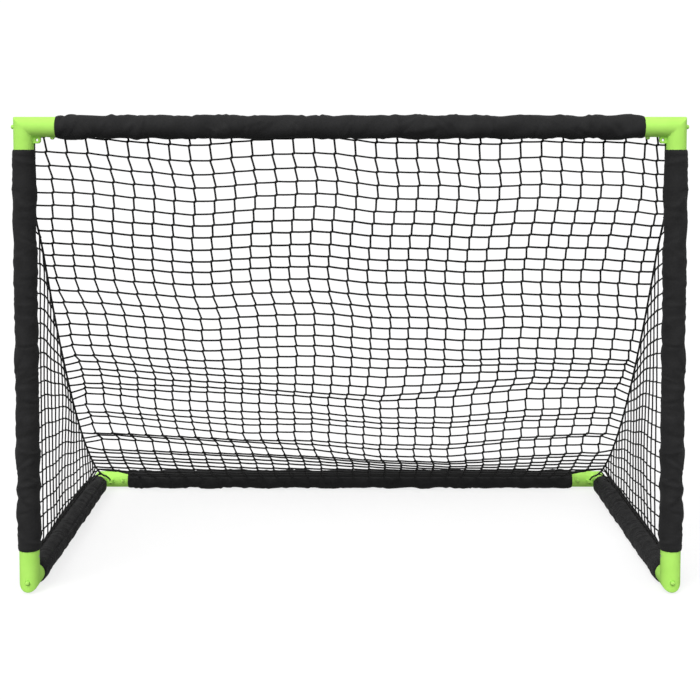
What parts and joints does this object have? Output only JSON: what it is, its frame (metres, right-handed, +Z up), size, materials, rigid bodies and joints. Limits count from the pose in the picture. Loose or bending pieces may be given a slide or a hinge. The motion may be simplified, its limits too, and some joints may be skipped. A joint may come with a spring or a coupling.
{
  "type": "pop up goal",
  "caption": "Upright front frame and U-shaped ground frame of sleeved tubes, joined by mitred plastic elbows with push buttons, with a sagging net; the front frame folds flat.",
  "frame": {"origin": "middle of the goal's bounding box, on the ground", "axes": "+X along the crossbar to the right seen from the mouth, +Y back from the mouth to the rear bar, +Z up"},
  "size_m": [1.209, 0.755, 0.865],
  "materials": {
    "lime_plastic": "satin",
    "button_plastic": "satin",
    "steel": "satin",
    "spring_steel": "polished",
    "plug_plastic": "satin",
    "foam": "matte",
    "sleeve_fabric": "matte",
    "net_cord": "matte"
  },
  "bodies": {
    "base_frame": {"rear_tube": "steel", "rear_foam": "foam", "rear_sleeve": "sleeve_fabric", "left_side_tube": "steel", "right_side_tube": "steel", "left_side_foam": "foam", "right_side_foam": "foam", "left_side_sleeve": "sleeve_fabric", "right_side_sleeve": "sleeve_fabric", "left_rear_elbow": "lime_plastic", "right_rear_elbow": "lime_plastic", "left_foot_elbow": "lime_plastic", "right_foot_elbow": "lime_plastic", "left_fold_pin": "steel", "right_fold_pin": "steel", "left_rear_bar_spring": "spring_steel", "right_rear_bar_spring": "spring_steel", "left_side_bar_rear_spring": "spring_steel", "right_side_bar_rear_spring": "spring_steel", "left_side_bar_front_spring": "spring_steel", "right_side_bar_front_spring": "spring_steel", "left_fold_release_spring": "spring_steel", "right_fold_release_spring": "spring_steel", "left_side_net": "net_cord", "right_side_net": "net_cord", "left_edge_cord": "net_cord", "right_edge_cord": "net_cord", "back_net": "net_cord"},
    "front_frame": {"crossbar_tube": "steel", "crossbar_foam": "foam", "crossbar_sleeve": "sleeve_fabric", "left_post_tube": "steel", "right_post_tube": "steel", "left_post_foam": "foam", "right_post_foam": "foam", "left_post_sleeve": "sleeve_fabric", "right_post_sleeve": "sleeve_fabric", "left_top_elbow": "lime_plastic", "right_top_elbow": "lime_plastic", "left_hinge_plug": "plug_plastic", "right_hinge_plug": "plug_plastic", "left_crossbar_spring": "spring_steel", "right_crossbar_spring": "spring_steel", "left_post_spring": "spring_steel", "right_post_spring": "spring_steel"},
    "left_crossbar_button": {"left_crossbar_button": "button_plastic"},
    "right_crossbar_button": {"right_crossbar_button": "button_plastic"},
    "left_post_button": {"left_post_button": "button_plastic"},
    "right_post_button": {"right_post_button": "button_plastic"},
    "left_rear_bar_button": {"left_rear_bar_button": "button_plastic"},
    "right_rear_bar_button": {"right_rear_bar_button": "button_plastic"},
    "left_side_bar_rear_button": {"left_side_bar_rear_button": "button_plastic"},
    "right_side_bar_rear_button": {"right_side_bar_rear_button": "button_plastic"},
    "left_side_bar_front_button": {"left_side_bar_front_button": "button_plastic"},
    "right_side_bar_front_button": {"right_side_bar_front_button": "button_plastic"},
    "left_fold_release_button": {"left_fold_release_button": "button_plastic"},
    "right_fold_release_button": {"right_fold_release_button": "button_plastic"}
  },
  "joints": [
    {"name": "front_frame_fold", "type": "hinge", "parent": "base_frame", "child": "front_frame", "pos_m": [0, -0.355, 0.0655], "axis": [-1, 0, 0], "range_deg": [0, 90], "deforming": ["back_net", "left_side_net", "right_side_net", "left_edge_cord", "right_edge_cord"]},
    {"name": "left_crossbar_button_press", "type": "slide", "parent": "front_frame", "child": "left_crossbar_button", "axis": [0, 0, 1], "range_m": [0, 0.0085], "stiffness_N_per_m": 1800, "springref_m": -0.003, "deforming": ["left_crossbar_spring"]},
    {"name": "right_crossbar_button_press", "type": "slide", "parent": "front_frame", "child": "right_crossbar_button", "axis": [0, 0, 1], "range_m": [0, 0.0085], "stiffness_N_per_m": 1800, "springref_m": -0.003, "deforming": ["right_crossbar_spring"]},
    {"name": "left_post_button_press", "type": "slide", "parent": "front_frame", "child": "left_post_button", "axis": [1, 0, 0], "range_m": [0, 0.0085], "stiffness_N_per_m": 1800, "springref_m": -0.003, "deforming": ["left_post_spring"]},
    {"name": "right_post_button_press", "type": "slide", "parent": "front_frame", "child": "right_post_button", "axis": [-1, 0, 0], "range_m": [0, 0.0085], "stiffness_N_per_m": 1800, "springref_m": -0.003, "deforming": ["right_post_spring"]},
    {"name": "left_rear_bar_button_press", "type": "slide", "parent": "base_frame", "child": "left_rear_bar_button", "axis": [0, 1, 0], "range_m": [0, 0.0085], "stiffness_N_per_m": 1800, "springref_m": -0.003, "deforming": ["left_rear_bar_spring"]},
    {"name": "right_rear_bar_button_press", "type": "slide", "parent": "base_frame", "child": "right_rear_bar_button", "axis": [0, 1, 0], "range_m": [0, 0.0085], "stiffness_N_per_m": 1800, "springref_m": -0.003, "deforming": ["right_rear_bar_spring"]},
    {"name": "left_side_bar_rear_button_press", "type": "slide", "parent": "base_frame", "child": "left_side_bar_rear_button", "axis": [1, 0, 0], "range_m": [0, 0.0085], "stiffness_N_per_m": 1800, "springref_m": -0.003, "deforming": ["left_side_bar_rear_spring"]},
    {"name": "right_side_bar_rear_button_press", "type": "slide", "parent": "base_frame", "child": "right_side_bar_rear_button", "axis": [-1, 0, 0], "range_m": [0, 0.0085], "stiffness_N_per_m": 1800, "springref_m": -0.003, "deforming": ["right_side_bar_rear_spring"]},
    {"name": "left_side_bar_front_button_press", "type": "slide", "parent": "base_frame", "child": "left_side_bar_front_button", "axis": [0, 0, -1], "range_m": [0, 0.0058], "stiffness_N_per_m": 1800, "springref_m": -0.003, "deforming": ["left_side_bar_front_spring"]},
    {"name": "right_side_bar_front_button_press", "type": "slide", "parent": "base_frame", "child": "right_side_bar_front_button", "axis": [0, 0, -1], "range_m": [0, 0.0058], "stiffness_N_per_m": 1800, "springref_m": -0.003, "deforming": ["right_side_bar_front_spring"]},
    {"name": "left_fold_release_button_press", "type": "slide", "parent": "base_frame", "child": "left_fold_release_button", "axis": [0, 1, 0], "range_m": [0, 0.0085], "stiffness_N_per_m": 1800, "springref_m": -0.003, "deforming": ["left_fold_release_spring"]},
    {"name": "right_fold_release_button_press", "type": "slide", "parent": "base_frame", "child": "right_fold_release_button", "axis": [0, 1, 0], "range_m": [0, 0.0085], "stiffness_N_per_m": 1800, "springref_m": -0.003, "deforming": ["right_fold_release_spring"]}
  ]
}
